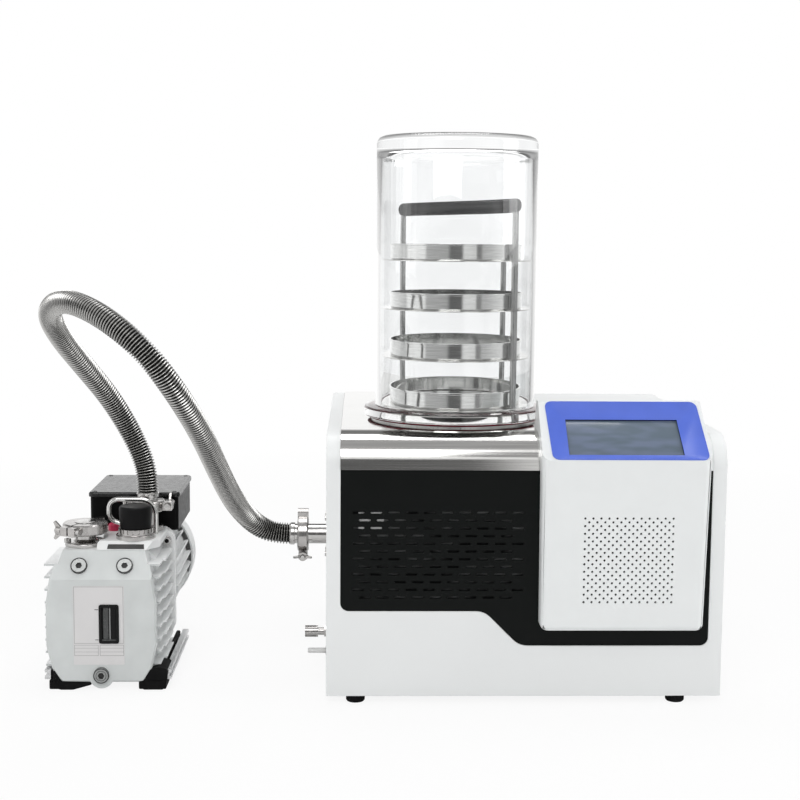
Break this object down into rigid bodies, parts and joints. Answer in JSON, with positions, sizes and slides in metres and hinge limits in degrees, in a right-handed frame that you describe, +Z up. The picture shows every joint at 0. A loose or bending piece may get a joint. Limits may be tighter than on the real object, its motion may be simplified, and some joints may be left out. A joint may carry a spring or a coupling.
{
  "type": "freeze dryer",
  "caption": "Bench-top freeze dryer with a clear bell over a pan rack, cold trap and touch screen, joined by a bellows hose to a vacuum pump.",
  "frame": {"origin": "bottom centre of the box round the dryer and pump without the hose, on the bench", "axes": "+Z up, front of the dryer towards -Y, pump on the -X side"},
  "size_m": [0.976, 0.6451, 0.811],
  "materials": {
    "white_enamel": "satin white enamel",
    "black_enamel": "satin black enamel",
    "zinc_steel": "zinc plated sheet",
    "brushed_steel": "brushed stainless",
    "polished_steel": "polished stainless",
    "nickel": "satin nickel",
    "white_plastic": "moulded white plastic",
    "blue_plastic": "blue plastic",
    "screen_glass": "grey-blue display, off",
    "black_rubber": "rubber",
    "red_silicone": "dark red silicone",
    "clear_acrylic": "clear cast acrylic",
    "copper": "copper tube",
    "black_plastic": "black plastic",
    "aluminium": "plain aluminium",
    "pump_paint": "pale grey enamel",
    "red_plastic": "red plastic",
    "black_gloss": "gloss black"
  },
  "bodies": {
    "dryer": {"cabinet_frame": "white_enamel", "left_side_panel": "white_enamel", "right_side_panel": "white_enamel", "rear_panel": "white_enamel", "base_tray": "zinc_steel", "front_grille_panel": "black_enamel", "steel_top_plate": "brushed_steel", "top_cover": "white_enamel", "control_box": "white_plastic", "bezel": "blue_plastic", "touch_screen": "screen_glass", "unit_feet": "black_rubber", "cold_trap": "brushed_steel", "chamber_seal": "red_silicone", "bell_chamber": "clear_acrylic", "evaporator_coil": "copper", "rack_base": "polished_steel", "rack_rods": "polished_steel", "rack_handle": "black_plastic", "rack_shelves": "polished_steel", "pan_1": "polished_steel", "pan_2": "polished_steel", "pan_3": "polished_steel", "pan_4": "polished_steel", "compressor": "black_enamel", "condenser": "aluminium", "fan_motor": "zinc_steel", "port_flange": "polished_steel", "flange_screws": "polished_steel", "vent_valve_body": "nickel", "drain_nipple": "white_plastic", "power_inlet": "black_plastic", "vacuum_clamps": "nickel", "clamp_bolts": "polished_steel", "hose_flanges": "polished_steel", "vacuum_hose": "polished_steel", "oil_case": "pump_paint", "pump_body": "pump_paint", "oil_plugs": "nickel", "sight_glass": "black_plastic", "exhaust_port": "nickel", "exhaust_cap": "polished_steel", "inlet_port": "nickel", "carry_handle": "nickel", "gas_ballast_seat": "nickel", "red_plug": "red_plastic", "motor_frame": "pump_paint", "motor_fan_cover": "pump_paint", "terminal_box": "black_gloss", "terminal_lid": "black_gloss", "pump_base": "aluminium", "pump_feet": "black_rubber"},
    "condenser_fan": {"condenser_fan": "black_plastic"},
    "motor_fan": {"motor_fan": "black_plastic"},
    "vent_knob": {"vent_valve_knob": "nickel"},
    "ballast_knob": {"gas_ballast_knob": "black_plastic"},
    "port_nut": {"port_wing_nut": "nickel"},
    "inlet_nut": {"inlet_wing_nut": "nickel"},
    "exhaust_nut": {"exhaust_wing_nut": "nickel"},
    "rocker": {"power_switch": "black_plastic"}
  },
  "joints": [
    {"name": "condenser_fan_spin", "type": "hinge", "parent": "dryer", "child": "condenser_fan", "pos_m": [0.132, 0.188, 0.121], "axis": [0, 1, 0], "continuous": true},
    {"name": "motor_fan_spin", "type": "hinge", "parent": "dryer", "child": "motor_fan", "pos_m": [-0.394, 0.153, 0.127], "axis": [0, 1, 0], "continuous": true},
    {"name": "vent_knob_turn", "type": "hinge", "parent": "dryer", "child": "vent_knob", "pos_m": [-0.101, -0.102, 0.064], "axis": [-1, 0, 0], "range_deg": [0, 360]},
    {"name": "ballast_knob_turn", "type": "hinge", "parent": "dryer", "child": "ballast_knob", "pos_m": [-0.361, -0.128, 0.24], "axis": [0, 0, 1], "range_deg": [0, 120]},
    {"name": "port_nut_turn", "type": "hinge", "parent": "dryer", "child": "port_nut", "pos_m": [-0.114, -0.121, 0.184], "axis": [0, 1, 0], "continuous": true},
    {"name": "inlet_nut_turn", "type": "hinge", "parent": "dryer", "child": "inlet_nut", "pos_m": [-0.32, -0.051, 0.252], "axis": [0, 1, 0], "continuous": true},
    {"name": "exhaust_nut_turn", "type": "hinge", "parent": "dryer", "child": "exhaust_nut", "pos_m": [-0.46834, -0.1518, 0.229], "axis": [-0.891, 0.454, 0], "continuous": true},
    {"name": "rocker_tilt", "type": "hinge", "parent": "dryer", "child": "rocker", "pos_m": [0.422, 0.276, 0.074], "axis": [1, 0, 0], "range_deg": [-18, 0]}
  ]
}
